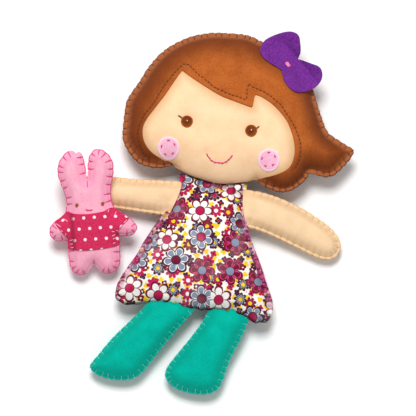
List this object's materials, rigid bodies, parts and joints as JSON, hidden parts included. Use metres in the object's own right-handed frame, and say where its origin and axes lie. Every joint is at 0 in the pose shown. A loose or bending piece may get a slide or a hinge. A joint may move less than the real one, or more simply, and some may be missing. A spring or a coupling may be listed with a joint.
{
  "type": "stuffed felt doll",
  "caption": "Stuffed felt rag doll with bendable limbs, bobbed hair, a bow and a floral dress, holding a small toy rabbit.",
  "frame": {"origin": "centre of the whole doll's plan, on the floor plane that it lies on", "axes": "+Z out of the face, +Y toward the top of the head, +X toward the doll's left hand"},
  "size_m": [0.2268, 0.2844, 0.0468],
  "materials": {
    "face_felt": "peach wool felt",
    "hair_felt": "brown wool felt",
    "eye_felt": "dark brown felt",
    "cheek_felt": "pink felt",
    "bow_felt": "purple felt",
    "knot_thread": "pink thread",
    "print_cotton": "printed cotton",
    "leg_felt": "teal wool felt",
    "toy_felt": "pink wool felt",
    "sweater_felt": "dotted crimson felt",
    "stuffing": "polyester stuffing",
    "chenille": "chenille-covered wire",
    "toy_eye_thread": "dark thread"
  },
  "bodies": {
    "torso": {"dress_front": "print_cotton", "dress_back": "print_cotton", "torso_stuffing": "stuffing", "spine_wire": "chenille", "shoulder_bar": "chenille", "hip_bar": "chenille"},
    "head": {"face_panel": "face_felt", "hair_front": "hair_felt", "hair_back": "hair_felt", "head_stuffing": "stuffing", "neck_wire": "chenille", "right_eye": "eye_felt", "left_eye": "eye_felt", "right_cheek": "cheek_felt", "left_cheek": "cheek_felt", "hair_bow": "bow_felt", "bow_knot": "knot_thread"},
    "right_arm_root": {"right_arm_root_wire": "chenille"},
    "right_arm_upper": {"right_arm_front": "face_felt", "right_arm_back": "face_felt", "right_arm_upper_stuffing": "stuffing", "right_arm_upper_wire": "chenille"},
    "right_arm_lower": {"right_arm_lower_stuffing": "stuffing", "right_arm_lower_wire": "chenille", "toy_front": "toy_felt", "toy_back": "toy_felt", "toy_stuffing": "stuffing", "sweater_front": "sweater_felt", "sweater_back": "sweater_felt", "toy_right_eye": "toy_eye_thread", "toy_left_eye": "toy_eye_thread"},
    "left_arm_root": {"left_arm_root_wire": "chenille"},
    "left_arm_upper": {"left_arm_front": "face_felt", "left_arm_back": "face_felt", "left_arm_upper_stuffing": "stuffing", "left_arm_upper_wire": "chenille"},
    "left_arm_lower": {"left_arm_lower_stuffing": "stuffing", "left_arm_lower_wire": "chenille"},
    "right_leg_root": {"right_leg_root_wire": "chenille"},
    "right_leg_upper": {"right_leg_front": "leg_felt", "right_leg_back": "leg_felt", "right_leg_upper_stuffing": "stuffing", "right_leg_upper_wire": "chenille"},
    "right_leg_lower": {"right_leg_lower_stuffing": "stuffing", "right_leg_lower_wire": "chenille"},
    "left_leg_root": {"left_leg_root_wire": "chenille"},
    "left_leg_upper": {"left_leg_front": "leg_felt", "left_leg_back": "leg_felt", "left_leg_upper_stuffing": "stuffing", "left_leg_upper_wire": "chenille"},
    "left_leg_lower": {"left_leg_lower_stuffing": "stuffing", "left_leg_lower_wire": "chenille"}
  },
  "joints": [
    {"name": "neck_nod", "type": "hinge", "parent": "torso", "child": "head", "pos_m": [0.00844, 0.02431, 0.017], "axis": [1, 0, 0], "range_deg": [-25, 8]},
    {"name": "right_arm_swing", "type": "hinge", "parent": "torso", "child": "right_arm_root", "pos_m": [-0.02256, 0.00331, 0.017], "axis": [0, 1, 0], "range_deg": [-30, 80], "deforming": ["right_arm_front", "right_arm_back"]},
    {"name": "right_arm_raise", "type": "hinge", "parent": "right_arm_root", "child": "right_arm_upper", "pos_m": [-0.03056, 0.00331, 0.01618], "axis": [0, 0, -1], "range_deg": [-5, 8], "deforming": ["right_arm_front", "right_arm_back"]},
    {"name": "right_arm_elbow", "type": "hinge", "parent": "right_arm_upper", "child": "right_arm_lower", "pos_m": [-0.05956, 0.00331, 0.0132], "axis": [0, -1, 0], "range_deg": [-60, 15], "deforming": ["right_arm_front", "right_arm_back"]},
    {"name": "left_arm_swing", "type": "hinge", "parent": "torso", "child": "left_arm_root", "pos_m": [0.03754, 0.00331, 0.017], "axis": [-0.1736, -0.9848, 0], "range_deg": [-30, 80], "deforming": ["left_arm_front", "left_arm_back"]},
    {"name": "left_arm_raise", "type": "hinge", "parent": "left_arm_root", "child": "left_arm_upper", "pos_m": [0.04542, 0.00192, 0.01618], "axis": [0, 0, 1], "range_deg": [-30, 8], "deforming": ["left_arm_front", "left_arm_back"]},
    {"name": "left_arm_elbow", "type": "hinge", "parent": "left_arm_upper", "child": "left_arm_lower", "pos_m": [0.07398, -0.00312, 0.0132], "axis": [0.4067, 0.9136, 0], "range_deg": [-90, 15], "deforming": ["left_arm_front", "left_arm_back"]},
    {"name": "right_leg_swing", "type": "hinge", "parent": "torso", "child": "right_leg_root", "pos_m": [-0.01306, -0.07909, 0.017], "axis": [-0.829, 0.5592, 0], "range_deg": [-20, 90], "deforming": ["right_leg_front", "right_leg_back"]},
    {"name": "right_leg_splay", "type": "hinge", "parent": "right_leg_root", "child": "right_leg_upper", "pos_m": [-0.01753, -0.08572, 0.01638], "axis": [0, 0, -1], "range_deg": [-5, 20], "deforming": ["right_leg_front", "right_leg_back"]},
    {"name": "right_leg_knee", "type": "hinge", "parent": "right_leg_upper", "child": "right_leg_lower", "pos_m": [-0.03263, -0.10811, 0.01428], "axis": [0.829, -0.5592, 0], "range_deg": [-30, 90], "deforming": ["right_leg_front", "right_leg_back"]},
    {"name": "left_leg_swing", "type": "hinge", "parent": "torso", "child": "left_leg_root", "pos_m": [0.03324, -0.07829, 0.017], "axis": [-0.9239, 0.3827, 0], "range_deg": [-20, 90], "deforming": ["left_leg_front", "left_leg_back"]},
    {"name": "left_leg_splay", "type": "hinge", "parent": "left_leg_root", "child": "left_leg_upper", "pos_m": [0.03018, -0.08568, 0.01638], "axis": [0, 0, 1], "range_deg": [-5, 35], "deforming": ["left_leg_front", "left_leg_back"]},
    {"name": "left_leg_knee", "type": "hinge", "parent": "left_leg_upper", "child": "left_leg_lower", "pos_m": [0.01985, -0.11063, 0.01428], "axis": [0.9239, -0.3827, 0], "range_deg": [-30, 90], "deforming": ["left_leg_front", "left_leg_back"]}
  ]
}
